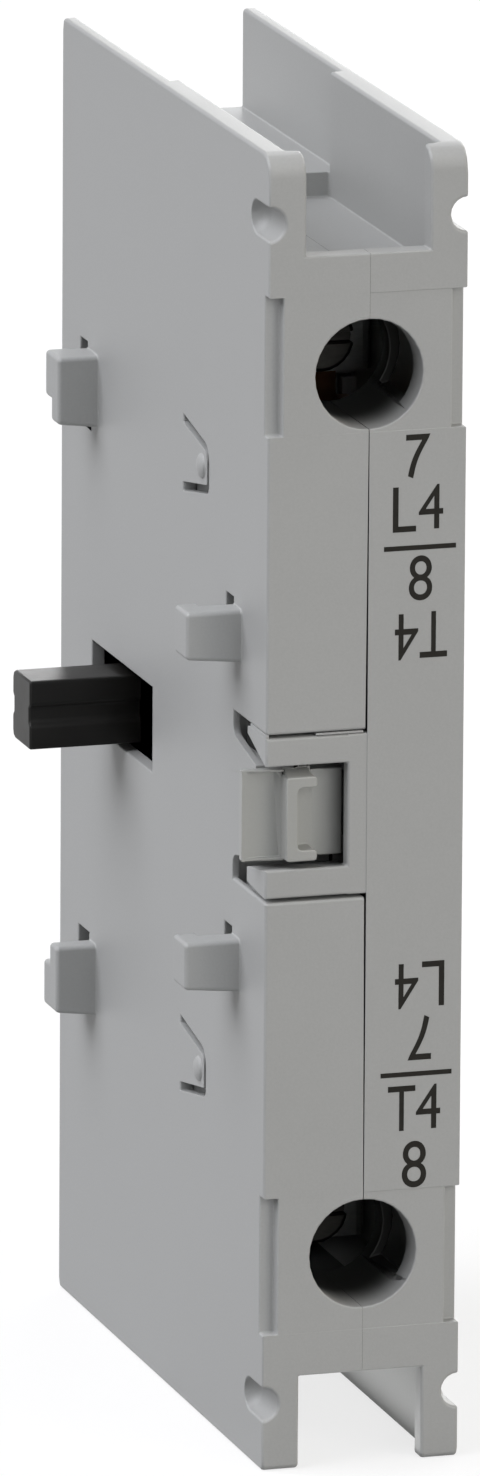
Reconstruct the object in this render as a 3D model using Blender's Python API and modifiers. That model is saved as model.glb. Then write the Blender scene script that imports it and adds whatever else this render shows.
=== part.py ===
"""Side-mounted auxiliary switch module, one module wide.

X runs across the width from the split plane of the two shells, with the
mating side at -X. Y runs back from the front face and Z up from mid height.
The frame empty then puts the origin on the mating face.
"""

import math

import bmesh
import bpy
from mathutils import Matrix, Vector

mm = 0.001

# Overall sizes
WIDTH = 17.5 * mm
DEPTH = 61.3 * mm
HEIGHT = 114.4 * mm
MATING_POINT_DEPTH = 28.0 * mm

# Clearances
CLEARANCE = 0.3 * mm
JOINT_GAP = 0.1 * mm
CUT_PAST = 1.0 * mm
WELD_IN = 0.4 * mm

# Shell walls
SIDE_WALL = 1.25 * mm
FRONT_WALL = 2.6 * mm
BACK_WALL = 1.6 * mm
END_WALL = 2.2 * mm
EDGE_RADIUS = 0.5 * mm
SPLIT_GAP = 0.3 * mm

# Barrier walls and wire channels above and below the body
BARRIER_HEIGHT = 8.8 * mm
BARRIER_WALL_FRONT = 2.05 * mm
BARRIER_WALL_REAR = 1.2 * mm
BARRIER_STEP_LAG = 2.35 * mm
UPPER_NOSE_RADIUS = 2.0 * mm
CHANNEL_SINK = 2.2 * mm
RIM_THICKNESS = 2.0 * mm
LEG_WIDTH = 3.3 * mm
LEG_GROOVE_RADIUS = 1.45 * mm
LEG_GROOVE_LENGTH = 5.2 * mm
LEG_GROOVE_DROP = 5.9 * mm

# Front face
COLLAR_BAND = 3.4 * mm
COLLAR_TO_PAD = 12.0 * mm
PANEL_RECESS = 0.15 * mm
RABBET_WIDTH = 1.3 * mm
RABBET_DEPTH = 1.1 * mm
ACCESS_HOLE_RADIUS = 4.65 * mm
ACCESS_HOLE_DROP = 7.9 * mm
TUBE_TO_SCREW_HEAD = 1.4 * mm
ACCESS_TUBE_WALL = 1.2 * mm
TUBE_WINDOW_RIM = 2.0 * mm
TUBE_WINDOW_HALF_HEIGHT = 3.25 * mm

# Latch pocket in the middle of the front, and the frame round it
POCKET_HALF_HEIGHT = 7.3 * mm
POCKET_WALL = 1.3 * mm
POCKET_DEPTH = 10.0 * mm
FRAME_STEP = 0.05 * mm
FRAME_POST_WIDTH = 1.9 * mm
FRAME_ARM_DEPTH = 5.4 * mm
LATCH_SLOT_HALF_HEIGHT = 4.45 * mm
ARM_TAPER_INNER = 1.1 * mm
ARM_TAPER_OUTER = 0.25 * mm
ARM_WELL_DEPTH = 9.55 * mm
ARM_WELL_SHOULDER = 5.8 * mm
ARM_WELL_RADIUS = 1.2 * mm

# Latch slider
LATCH_PROTRUSION = 1.6 * mm
LATCH_PLATE_THICKNESS = 3.5 * mm
LATCH_PLATE_FRONT = 1.7 * mm
LATCH_HOLLOW = 0.5 * mm
LATCH_UNDER_POST = 1.1 * mm
LATCH_POST_GAP = 0.4 * mm
LATCH_SIDE_ROOM = 0.5 * mm
LATCH_STEM_PAST_SPLIT = 2.4 * mm
LATCH_STEM_HALF_HEIGHT = 2.6 * mm
LATCH_STEM_THICKNESS = 2.1 * mm
LATCH_STROKE = 2.0 * mm
GRIP_INSET = 1.85 * mm
GRIP_SPINE_WIDTH = 1.05 * mm
GRIP_TAB_LENGTH = 1.7 * mm
GRIP_TAB_HEIGHT = 0.97 * mm
GRIP_TOP = 3.5 * mm
GRIP_DROP = 3.85 * mm
LATCH_SPRING_RADIUS = 1.15 * mm
LATCH_SPRING_WIRE = 0.35 * mm
LATCH_SPRING_TURNS = 5

# Actuator window and contact carrier
WINDOW_LAG = 2.75 * mm
WINDOW_LENGTH = 18.35 * mm
WINDOW_HALF_HEIGHT = 3.75 * mm
BAR_LAG = 10.35 * mm
BAR_DEPTH = 5.3 * mm
BAR_HALF_HEIGHT = 3.05 * mm
BAR_REACH = 8.75 * mm
BAR_CHAMFER = 0.7 * mm
BAR_FRONT_RADIUS = 0.25 * mm
BAR_GROOVE_HALF_HEIGHT = 0.95 * mm
BAR_GROOVE_DEPTH = 0.35 * mm
CARRIER_WEB = 2.3 * mm
CARRIER_REAR_WEB = 3.8 * mm
CARRIER_CHEEK = 3.6 * mm
CARRIER_HALF_HEIGHT = 3.5 * mm
SHUTTER_THICKNESS = 1.1 * mm
SHUTTER_OVERLAP_FRONT = 1.9 * mm
SHUTTER_OVERLAP_REAR = 2.4 * mm
GUIDE_RIB = 1.2 * mm
CARRIER_FORWARD_STROKE = 6.5 * mm

# Current path
BAR_PLATE_LEAD = 5.85 * mm
BAR_PLATE_THICKNESS = 2.0 * mm
CONTACT_HALF_SPACING = 13.0 * mm
TERMINAL_NECK_HALF_WIDTH = 3.5 * mm
TERMINAL_TONGUE_HALF_WIDTH = 4.9 * mm
TERMINAL_SHOULDER_ROOM = 1.7 * mm
BRIDGE_HALF_WIDTH = 3.0 * mm
BRIDGE_THICKNESS = 1.5 * mm
BRIDGE_CORNER = 1.8 * mm
TIP_RADIUS = 2.0 * mm
TIP_FLAT_RADIUS = 1.2 * mm
TIP_THICKNESS = 1.2 * mm
TIP_CROWN = 0.2 * mm
CONTACT_SPRING_RADIUS = 2.1 * mm
CONTACT_SPRING_WIRE = 0.55 * mm
CONTACT_SPRING_TURNS = 4
CONTACT_SPRING_LENGTH = 5.1 * mm

# Arc splitters
SPLITTER_COUNT = 4
SPLITTER_TIP_ROOM = 2.2 * mm
SPLITTER_SETBACK = 2.0 * mm
SPLITTER_PITCH = 2.2 * mm
SPLITTER_THICKNESS = 0.8 * mm
SPLITTER_NOTCH_HALF_WIDTH = 3.6 * mm
SPLITTER_NOTCH_SHARE = 0.35
SPLITTER_RIB_REACH = 1.3 * mm

# Screw clamps
SCREW_LENGTH = 11.5 * mm
SCREW_HEAD_RADIUS = 2.95 * mm
SCREW_HEAD_HEIGHT = 2.4 * mm
SCREW_RADIUS = 2.0 * mm
SCREW_SLOT_WIDTH = 1.0 * mm
SCREW_SLOT_DEPTH = 1.2 * mm
SCREW_TIP_CHAMFER = 0.5 * mm
CAGE_WALL = 1.5 * mm
CAGE_FRONT_ROOM = 1.8 * mm
CAGE_HEIGHT = 9.6 * mm
CAGE_CORNER = 0.9 * mm
WIRE_SPACE = 5.6 * mm
WIRE_HOLE_HALF_WIDTH = 3.2 * mm
WIRE_HOLE_CORNER = 1.6 * mm

# Hooks on the mating side
FRONT_HOOK_FRONT = 7.1 * mm
FRONT_HOOK_DEPTH = 3.7 * mm
FRONT_HOOK_Z = 14.4 * mm
FRONT_HOOK_HEIGHT = 4.4 * mm
FRONT_HOOK_REACH = 4.9 * mm
FRONT_HOOK_ROOT = 2.55 * mm
FRONT_HOOK_LIP = 2.0 * mm
REAR_HOOK_TO_BACK = 11.35 * mm
REAR_HOOK_DEPTH = 4.05 * mm
REAR_HOOK_THIN_DEPTH = 2.25 * mm
REAR_HOOK_Z = 26.35 * mm
REAR_HOOK_HEIGHT = 6.2 * mm
REAR_HOOK_THIN_HEIGHT = 1.9 * mm
REAR_HOOK_REACH = 3.65 * mm
REAR_HOOK_ROOT = 3.45 * mm
REAR_HOOK_LIP = 2.3 * mm
HOOK_CORNER = 0.4 * mm
HOOK_DRAFT = 0.25 * mm
CORE_HOLE_LENGTH = 2.2 * mm
CORE_HOLE_MARGIN = 0.55 * mm

# Spring tongues on the mating side
TONGUE_Z = 26.5 * mm
TONGUE_TIP = 17.6 * mm
TONGUE_LENGTH = 7.0 * mm
TONGUE_TIP_HEIGHT = 2.8 * mm
TONGUE_ROOT_HEIGHT = 5.5 * mm
TONGUE_SLOT = 0.65 * mm
TONGUE_CORNER = 1.0 * mm
TONGUE_LOW_CORNER = 0.2 * mm
NUB_RADIUS = 1.1 * mm
NUB_HEIGHT = 0.45 * mm
NUB_SETBACK = 1.4 * mm

# Locating pegs between the shells
PEG_RADIUS = 1.4 * mm
PEG_BOSS_WALL = 1.1 * mm
PEG_LENGTH = 3.0 * mm
FRONT_PEG_DEPTH = 14.0 * mm
FRONT_PEG_Z = 20.5 * mm
REAR_PEG_TO_BACK = 6.8 * mm
REAR_PEG_DROP = 6.0 * mm

# Dependent places
half_width = WIDTH / 2
half_height = HEIGHT / 2
rim_z = half_height - BARRIER_HEIGHT
floor_z = rim_z - CHANNEL_SINK
cavity_z = floor_z - END_WALL
collar_z = rim_z - COLLAR_BAND
pad_z = collar_z - COLLAR_TO_PAD
terminal_z = floor_z - ACCESS_HOLE_DROP
inner_side = half_width - SIDE_WALL
inner_back = DEPTH - BACK_WALL
fitted_half_width = inner_side - CLEARANCE
mid_depth = DEPTH / 2
barrier_step = mid_depth + BARRIER_STEP_LAG
window_front = mid_depth + WINDOW_LAG
window_rear = window_front + WINDOW_LENGTH
bar_front = mid_depth + BAR_LAG
rear_hook_front = DEPTH - REAR_HOOK_TO_BACK
bar_plate_front = mid_depth - BAR_PLATE_LEAD
bar_plate_rear = bar_plate_front + BAR_PLATE_THICKNESS
screw_tip = bar_plate_front - CLEARANCE
screw_head_face = screw_tip - SCREW_LENGTH
access_tube_end = screw_head_face - TUBE_TO_SCREW_HEAD
fixed_tip_face = bar_plate_rear + JOINT_GAP + TIP_THICKNESS
moving_tip_face = fixed_tip_face + CARRIER_FORWARD_STROKE + CLEARANCE
bridge_front = moving_tip_face + TIP_THICKNESS + JOINT_GAP
bridge_rear = bridge_front + BRIDGE_THICKNESS
carrier_opening_front = bridge_front - CLEARANCE
carrier_front = carrier_opening_front - CARRIER_WEB
spring_front = bridge_rear + CLEARANCE
carrier_opening_rear = spring_front + CONTACT_SPRING_LENGTH + CLEARANCE
carrier_rear = carrier_opening_rear + CARRIER_REAR_WEB
cage_inner_front = bar_plate_front - CAGE_FRONT_ROOM
cage_inner_rear = bar_plate_rear + WIRE_SPACE
pocket_rear = POCKET_DEPTH + POCKET_WALL
partition_z = terminal_z - CAGE_HEIGHT / 2 - CLEARANCE - POCKET_WALL
splitter_root_z = CONTACT_HALF_SPACING + TIP_RADIUS + SPLITTER_TIP_ROOM
splitter_end_z = partition_z - CLEARANCE
splitter_front = fixed_tip_face + SPLITTER_SETBACK
latch_plate_end = -LATCH_UNDER_POST
latch_rear = LATCH_PLATE_FRONT + LATCH_PLATE_THICKNESS
latch_step = latch_rear - LATCH_STEM_THICKNESS
spring_inner_radius = CONTACT_SPRING_RADIUS - CONTACT_SPRING_WIRE / 2 - CLEARANCE

COLOURS = {
    "shell grey": ((0.36, 0.37, 0.37, 1), 0.45, 0.0),
    "latch grey": ((0.38, 0.39, 0.38, 1), 0.42, 0.0),
    "carrier black": ((0.012, 0.012, 0.013, 1), 0.38, 0.0),
    "copper": ((0.72, 0.36, 0.2, 1), 0.35, 1.0),
    "silver": ((0.75, 0.74, 0.72, 1), 0.3, 1.0),
    "zinc steel": ((0.55, 0.56, 0.57, 1), 0.35, 1.0),
    "spring steel": ((0.42, 0.42, 0.43, 1), 0.3, 1.0),
    "splitter steel": ((0.45, 0.43, 0.41, 1), 0.4, 1.0),
}


for leftover in list(bpy.data.objects):
    bpy.data.objects.remove(leftover)


def new_collection(name, parent):
    collection = bpy.data.collections.new(name)
    parent.children.link(collection)
    return collection


parts = new_collection("auxiliary_switch", bpy.context.scene.collection)
cutters = new_collection("cutters", bpy.context.scene.collection)
cutters.hide_render = True


def material(name):
    found = bpy.data.materials.get(name)
    if found:
        return found
    colour, roughness, metallic = COLOURS[name]
    made = bpy.data.materials.new(name)
    made.use_nodes = True
    surface = made.node_tree.nodes["Principled BSDF"]
    surface.inputs["Base Color"].default_value = colour
    surface.inputs["Roughness"].default_value = roughness
    surface.inputs["Metallic"].default_value = metallic
    return made


def object_from(name, bm):
    mesh = bpy.data.meshes.new(name)
    bm.to_mesh(mesh)
    bm.free()
    obj = bpy.data.objects.new(name, mesh)
    cutters.objects.link(obj)
    obj.hide_render = True
    obj.display_type = "WIRE"
    return obj


def block(name, low, high):
    """A box between two opposite corners, given in any order."""
    bm = bmesh.new()
    bmesh.ops.create_cube(bm, size=1)
    low, high = Vector(low), Vector(high)
    size = [abs(a) for a in high - low]
    bmesh.ops.scale(bm, vec=size, verts=bm.verts)
    bmesh.ops.translate(bm, vec=(low + high) / 2, verts=bm.verts)
    return object_from(name, bm)


def axis_matrix(axis):
    """Turns local Z to the named axis, and local X and Y to the other two in order."""
    if axis == "X":
        return Matrix(((0, 0, 1), (1, 0, 0), (0, 1, 0))).to_4x4()
    if axis == "Y":
        return Matrix(((1, 0, 0), (0, 0, -1), (0, 1, 0))).to_4x4()
    return Matrix.Identity(4)


def placed(axis, u, v, along):
    """The point at u and v on the other two axes, in order, and at a place along the axis."""
    return {"X": (along, u, v), "Y": (u, along, v), "Z": (u, v, along)}[axis]


def rod(name, centre, axis, radius, low, high, sides=32):
    """A cylinder along an axis from low to high, round a centre given by the other two."""
    bm = bmesh.new()
    bmesh.ops.create_cone(
        bm, cap_ends=True, segments=sides, radius1=radius, radius2=radius, depth=high - low
    )
    bmesh.ops.transform(bm, matrix=axis_matrix(axis), verts=bm.verts)
    bmesh.ops.translate(bm, vec=placed(axis, *centre, (low + high) / 2), verts=bm.verts)
    return object_from(name, bm)


def dome(name, centre, radius, height, steps=12):
    """An ellipsoid, flat along X, for a low bump on a side wall."""
    bm = bmesh.new()
    bmesh.ops.create_uvsphere(bm, u_segments=steps, v_segments=steps // 2, radius=1)
    bmesh.ops.scale(bm, vec=(height, radius, radius), verts=bm.verts)
    bmesh.ops.translate(bm, vec=centre, verts=bm.verts)
    return object_from(name, bm)


def rounded(corners, steps=3):
    """Outline points from corners (u, v) or (u, v, radius), with an arc at each radius."""
    points = []
    for index, corner in enumerate(corners):
        here = Vector(corner[:2])
        radius = corner[2] if len(corner) > 2 else 0
        if radius == 0:
            points.append(here)
            continue
        before = (Vector(corners[index - 1][:2]) - here).normalized()
        after = (Vector(corners[(index + 1) % len(corners)][:2]) - here).normalized()
        half_angle = before.angle(after) / 2
        reach = radius / math.tan(half_angle)
        centre = here + (before + after).normalized() * radius / math.sin(half_angle)
        start = here + before * reach - centre
        turn = (here + after * reach - centre).angle_signed(start)
        for step in range(steps + 1):
            points.append(centre + Matrix.Rotation(turn * step / steps, 2) @ start)
    return points


def prism(name, outline, axis, low, high):
    """An outline pushed along an axis. Its coordinates are the other two axes in order."""
    bm = bmesh.new()
    near = [bm.verts.new(placed(axis, u, v, low)) for u, v in outline]
    cap = bm.faces.new(near)
    grown = bmesh.ops.extrude_face_region(bm, geom=[cap])
    far = [item for item in grown["geom"] if isinstance(item, bmesh.types.BMVert)]
    bmesh.ops.translate(bm, vec=placed(axis, 0, 0, high - low), verts=far)
    bmesh.ops.recalc_face_normals(bm, faces=bm.faces)
    return object_from(name, bm)


def welded_mesh(name, curve_object):
    """The mesh of a bevelled curve with its caps welded on, in place of the curve."""
    bpy.context.view_layer.update()
    graph = bpy.context.evaluated_depsgraph_get()
    mesh = bpy.data.meshes.new_from_object(curve_object.evaluated_get(graph))
    mesh.transform(curve_object.matrix_world)
    bpy.data.objects.remove(curve_object)
    bm = bmesh.new()
    bm.from_mesh(mesh)
    bmesh.ops.remove_doubles(bm, verts=bm.verts, dist=0.002 * mm)
    bmesh.ops.recalc_face_normals(bm, faces=bm.faces)
    bpy.data.meshes.remove(mesh)
    return object_from(name, bm)


def boolean(obj, operation, operands):
    """One exact Boolean with a collection of operands."""
    group = new_collection(obj.name + "_" + operation.lower(), cutters)
    for operand in operands:
        cutters.objects.unlink(operand)
        group.objects.link(operand)
    group.hide_render = True
    step = obj.modifiers.new(group.name, "BOOLEAN")
    step.operation = operation
    step.operand_type = "COLLECTION"
    step.collection = group
    step.solver = "EXACT"


def finish(obj, name, surface, smooth_angle=35):
    """Turns a working solid into a named part with its own material."""
    obj.name = name
    obj.data.name = name
    cutters.objects.unlink(obj)
    parts.objects.link(obj)
    obj.hide_render = False
    obj.display_type = "TEXTURED"
    obj.data.materials.clear()
    obj.data.materials.append(material(surface))
    obj.data.shade_smooth()
    obj.data.set_sharp_from_angle(angle=math.radians(smooth_angle))
    return obj


def turned(name, profile, steps=24):
    """A solid of revolution about Z from (radius, height) points, top to bottom."""
    bm = bmesh.new()
    rim = [bm.verts.new((radius, 0, height)) for radius, height in profile]
    for upper, lower in zip(rim, rim[1:]):
        bm.edges.new((upper, lower))
    obj = object_from(name, bm)
    spin = obj.modifiers.new("turn", "SCREW")
    spin.axis = "Z"
    spin.steps = steps
    spin.render_steps = steps
    spin.use_merge_vertices = True
    spin.merge_threshold = 0.001 * mm
    return obj


def helix(name, axis, centre, radius, wire, low, high, turns, steps=10):
    """A coil of round wire between two places along an axis."""
    curve = bpy.data.curves.new(name, "CURVE")
    curve.dimensions = "3D"
    curve.bevel_depth = wire / 2
    curve.bevel_resolution = 1
    curve.use_fill_caps = True
    spline = curve.splines.new("POLY")
    count = turns * steps + 1
    spline.points.add(count - 1)
    first, last = low + wire / 2, high - wire / 2
    for index, point in enumerate(spline.points):
        angle = 2 * math.pi * index / steps
        height = first + (last - first) * index / (count - 1)
        point.co = (radius * math.cos(angle), radius * math.sin(angle), height, 1)
    guide = bpy.data.objects.new(name, curve)
    cutters.objects.link(guide)
    place = (0, *centre) if axis == "X" else (centre[0], 0, centre[1])
    turn = axis_matrix(axis)
    if axis == "Y":
        turn = turn @ Matrix.Rotation(math.pi, 4, "X")
    guide.matrix_world = Matrix.Translation(place) @ turn
    return welded_mesh(name, guide)


def across(side, inner, outer):
    """The two X places at these distances from the split plane, low first."""
    return (inner, outer) if side > 0 else (-outer, -inner)


def shell_box(name, side, inner, outer, depths, heights):
    low, high = across(side, inner, outer)
    return block(name, (low, depths[0], heights[0]), (high, depths[1], heights[1]))


def shell_blank(side):
    outline = rounded(
        [
            (0, half_height, UPPER_NOSE_RADIUS),
            (0, -half_height, EDGE_RADIUS),
            (DEPTH, -half_height, EDGE_RADIUS),
            (DEPTH, half_height, EDGE_RADIUS),
        ]
    )
    low, high = across(side, -CUT_PAST, half_width)
    return prism("blank", outline, "X", low, high)


def channel_cuts(side, end):
    """The wire channel between the barrier walls, deeper in front than behind."""
    past = half_height + CUT_PAST
    front_wall = half_width - BARRIER_WALL_FRONT
    rear_wall = half_width - BARRIER_WALL_REAR
    inner = -2 * CUT_PAST
    step = barrier_step
    legs = half_width - LEG_WIDTH
    low, shelf = (end * floor_z, end * past), (end * rim_z, end * past)
    return [
        shell_box("channel", side, inner, front_wall, (RIM_THICKNESS, step), low),
        shell_box("shelf", side, inner, rear_wall, (step - CLEARANCE, DEPTH + CUT_PAST), shelf),
        shell_box("mouth", side, inner, legs, (-CUT_PAST, RIM_THICKNESS + CLEARANCE), shelf),
    ]


def cavity_cuts(side):
    """The hollow for the mechanism, with its raised rear ends under the shelves."""
    inner = -2 * CUT_PAST
    raised = rim_z - END_WALL
    raised_front = barrier_step + END_WALL
    return [
        shell_box("cavity", side, inner, inner_side, (FRONT_WALL, inner_back), (-cavity_z, cavity_z)),
        shell_box("cavity_rear", side, inner, inner_side, (raised_front, inner_back), (-raised, raised)),
    ]


def access_tubes(end):
    radius = ACCESS_HOLE_RADIUS + ACCESS_TUBE_WALL
    near = FRONT_WALL - WELD_IN
    return rod("tube", (0, end * terminal_z), "Y", radius, near, access_tube_end)


def inner_ribs(side, end):
    """What holds the mechanism inside one end of a shell."""
    root = inner_side + WELD_IN
    reach = inner_side - SPLITTER_RIB_REACH
    cheek = inner_side - CARRIER_CHEEK + 2 * CLEARANCE
    back = inner_back + WELD_IN
    guide_front = carrier_front - CARRIER_FORWARD_STROKE - CARRIER_WEB
    guide = CARRIER_HALF_HEIGHT + CLEARANCE
    rail = (end * guide, end * (guide + GUIDE_RIB))
    pocket = (end * POCKET_HALF_HEIGHT, end * (POCKET_HALF_HEIGHT + POCKET_WALL))
    partition = (end * partition_z, end * (partition_z + POCKET_WALL))
    rib_low = end * (splitter_root_z + CLEARANCE)
    front_rib = (rib_low, end * (TONGUE_Z - TONGUE_ROOT_HEIGHT / 2 - 2 * TONGUE_SLOT))
    comb = (rib_low, end * splitter_end_z)
    before_bar = bar_plate_front - CLEARANCE
    behind_bar = bar_plate_rear + CLEARANCE
    ribs = [
        shell_box("pocket_wall", side, -CUT_PAST, root, (FRONT_WALL - WELD_IN, pocket_rear), pocket),
        shell_box("guide_rib", side, cheek, root, (guide_front, back), rail),
        shell_box("partition", side, -CUT_PAST, root, (behind_bar, back), partition),
        shell_box("bar_rib_front", side, reach, root, (before_bar - GUIDE_RIB, before_bar), front_rib),
        shell_box("bar_rib_rear", side, reach, root, (behind_bar, behind_bar + GUIDE_RIB), comb),
    ]
    rib = SPLITTER_PITCH - SPLITTER_THICKNESS - 2 * CLEARANCE
    for index in range(SPLITTER_COUNT + 1):
        near = splitter_front + index * SPLITTER_PITCH - CLEARANCE - rib
        ribs.append(shell_box("comb", side, reach, root, (near, near + rib), comb))
    return ribs


def pocket_back(side):
    height = POCKET_HALF_HEIGHT + WELD_IN
    root = inner_side + WELD_IN
    support = latch_rear + CLEARANCE
    half = LATCH_STEM_HALF_HEIGHT / 2
    return [
        shell_box("pocket_back", side, -CUT_PAST, root, (POCKET_DEPTH, pocket_rear), (-height, height)),
        shell_box("latch_rest", side, -CUT_PAST, root, (support, POCKET_DEPTH + WELD_IN), (-half, half)),
    ]


def leg_groove(side, end):
    """The round groove along the outer side of a leg, with a ball end."""
    radius = LEG_GROOVE_RADIUS
    straight = LEG_GROOVE_LENGTH - radius
    turns = [math.radians(angle) for angle in range(0, 91, 18)]
    ball = [(radius * math.sin(turn), straight + radius * math.cos(turn)) for turn in turns]
    groove = turned("leg_groove", ball + [(radius, -CUT_PAST), (0, -CUT_PAST)], steps=20)
    groove.location = (side * half_width, 0, end * (half_height - LEG_GROOVE_DROP))
    groove.rotation_euler.x = math.radians(-90)
    return groove


def face_cuts(side, end):
    """Rabbets, recessed panel, screw access and wire hole at one end."""
    past = half_width + CUT_PAST
    heights = (end * pad_z, end * collar_z)
    rabbet = half_width - RABBET_WIDTH
    hole_end = access_tube_end + CUT_PAST
    cuts = [
        shell_box("rabbet", side, rabbet, past, (-CUT_PAST, RABBET_DEPTH), heights),
        shell_box("panel", side, -3 * CUT_PAST, past, (-CUT_PAST, PANEL_RECESS), heights),
        rod("access", (0, end * terminal_z), "Y", ACCESS_HOLE_RADIUS, -CUT_PAST, hole_end),
    ]
    hole = rounded(
        [
            (-WIRE_HOLE_HALF_WIDTH, bar_plate_rear + CLEARANCE, WIRE_HOLE_CORNER),
            (WIRE_HOLE_HALF_WIDTH, bar_plate_rear + CLEARANCE, WIRE_HOLE_CORNER),
            (WIRE_HOLE_HALF_WIDTH, cage_inner_rear - CLEARANCE, WIRE_HOLE_CORNER),
            (-WIRE_HOLE_HALF_WIDTH, cage_inner_rear - CLEARANCE, WIRE_HOLE_CORNER),
        ]
    )
    low, high = sorted((end * (cavity_z - CUT_PAST), end * (floor_z + CUT_PAST)))
    return cuts + [prism("wire_hole", hole, "Z", low, high), leg_groove(side, end)]


def trim(side):
    """Everything past the split plane, less half of the gap."""
    return shell_box(
        "trim",
        side,
        -half_width,
        SPLIT_GAP / 2,
        (-2 * CUT_PAST, DEPTH + 2 * CUT_PAST),
        (-half_height - CUT_PAST, half_height + CUT_PAST),
    )


def hook_outline(front, depth, low, height, thin_depth=None, thin_height=0):
    top = low + height
    soft = HOOK_CORNER
    corners = [(front, low, soft), (front, top, soft), (front + depth, top, soft)]
    if thin_depth is None:
        corners += [(front + depth, low, soft)]
    else:
        corners += [
            (front + depth, low + thin_height, soft),
            (front + thin_depth, low + thin_height),
            (front + thin_depth, low, soft),
        ]
    return rounded(corners, steps=3)


def drafted(hook, middle):
    """The same hook with its underside rising towards the tip, as the mould leaves it."""
    tip = min(vertex.co.x for vertex in hook.data.vertices)
    for vertex in hook.data.vertices:
        if vertex.co.z < middle:
            vertex.co.z += HOOK_DRAFT if vertex.co.x - tip < CUT_PAST else -HOOK_DRAFT
    return hook


def hooks(end):
    """A front and a rear hook, standing out of the mating side."""
    root = -half_width + WELD_IN
    front = hook_outline(
        FRONT_HOOK_FRONT, FRONT_HOOK_DEPTH, FRONT_HOOK_Z - FRONT_HOOK_HEIGHT / 2, FRONT_HOOK_HEIGHT
    )
    rear = hook_outline(
        rear_hook_front,
        REAR_HOOK_DEPTH,
        REAR_HOOK_Z - REAR_HOOK_HEIGHT / 2,
        REAR_HOOK_HEIGHT,
        REAR_HOOK_THIN_DEPTH,
        REAR_HOOK_THIN_HEIGHT,
    )
    made = []
    for outline, reach, z in (
        (front, FRONT_HOOK_REACH, FRONT_HOOK_Z),
        (rear, REAR_HOOK_REACH, REAR_HOOK_Z),
    ):
        flipped = [(depth, end * height) for depth, height in outline]
        hook = prism("hook", flipped, "X", -half_width - reach, root)
        made.append(drafted(hook, end * z))
    return made


def core_holes(end):
    """The mould's core holes under the lips of the hooks."""
    front_start = FRONT_HOOK_FRONT + FRONT_HOOK_ROOT
    rear_start = rear_hook_front + REAR_HOOK_ROOT
    front_lip = -half_width - FRONT_HOOK_REACH + FRONT_HOOK_LIP
    rear_lip = -half_width - REAR_HOOK_REACH + REAR_HOOK_LIP
    made = []
    for start, lip, middle, height in (
        (front_start, front_lip, FRONT_HOOK_Z, FRONT_HOOK_HEIGHT),
        (rear_start, rear_lip, REAR_HOOK_Z, REAR_HOOK_HEIGHT),
    ):
        half = height / 2 + CORE_HOLE_MARGIN
        low = (lip, start, end * middle - half)
        high = (-inner_side + CUT_PAST, start + CORE_HOLE_LENGTH, end * middle + half)
        made.append(block("core_hole", low, high))
    thin_low = REAR_HOOK_Z - REAR_HOOK_HEIGHT / 2
    behind = (rear_lip, rear_hook_front + REAR_HOOK_THIN_DEPTH, end * (thin_low - CORE_HOLE_MARGIN))
    thick = (-inner_side + CUT_PAST, rear_start + WELD_IN, end * (thin_low + REAR_HOOK_THIN_HEIGHT))
    made.append(block("core_hole", behind, thick))
    return made


def tongue_outline(grow):
    """The tongue's outline, grown by the width of its slot for the outer edge."""
    tip = TONGUE_TIP - grow
    root = TONGUE_TIP + TONGUE_LENGTH
    tip_half = TONGUE_TIP_HEIGHT / 2 + grow
    root_half = TONGUE_ROOT_HEIGHT / 2 + grow
    return rounded(
        [
            (root + (CUT_PAST if grow == 0 else 0), -root_half),
            (tip, -tip_half, TONGUE_LOW_CORNER + grow),
            (tip, tip_half, TONGUE_CORNER + grow),
            (root + (CUT_PAST if grow == 0 else 0), root_half),
        ],
        steps=4,
    )


def tongue_slot(end):
    """The U-shaped slot round a spring tongue: an outer outline less an inner one."""
    low, high = -half_width - CUT_PAST, -inner_side + CUT_PAST / 2
    outer = prism("tongue_slot", tongue_outline(TONGUE_SLOT), "X", low, high)
    inner = prism("tongue_core", tongue_outline(0), "X", low - CUT_PAST, high + CUT_PAST)
    boolean(outer, "DIFFERENCE", [inner])
    for solid in (outer, inner):
        solid.location.z = end * TONGUE_Z
    return outer


def pocket_cuts():
    """The pocket's front opening and its stepped window through the side wall."""
    step = latch_rear + CLEARANCE + JOINT_GAP
    slot = LATCH_SLOT_HALF_HEIGHT + JOINT_GAP
    well, shoulder, radius = ARM_WELL_DEPTH, ARM_WELL_SHOULDER, ARM_WELL_RADIUS
    half = POCKET_HALF_HEIGHT
    outline = [(-CUT_PAST, half), (well, half), (well, shoulder, radius), (step, slot)]
    outline += [(step, -slot), (well, -shoulder, radius), (well, -half), (-CUT_PAST, -half)]
    front = block(
        "pocket_front",
        (-half_width - CUT_PAST, -CUT_PAST, -half),
        (CUT_PAST, FRONT_WALL + CLEARANCE, half),
    )
    side = prism("pocket_side", rounded(outline), "X", -half_width - CUT_PAST, -inner_side + CLEARANCE)
    return [front, side]


def peg_places(end):
    return [
        (FRONT_PEG_DEPTH, end * FRONT_PEG_Z),
        (DEPTH - REAR_PEG_TO_BACK, end * (cavity_z - REAR_PEG_DROP)),
    ]


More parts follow.
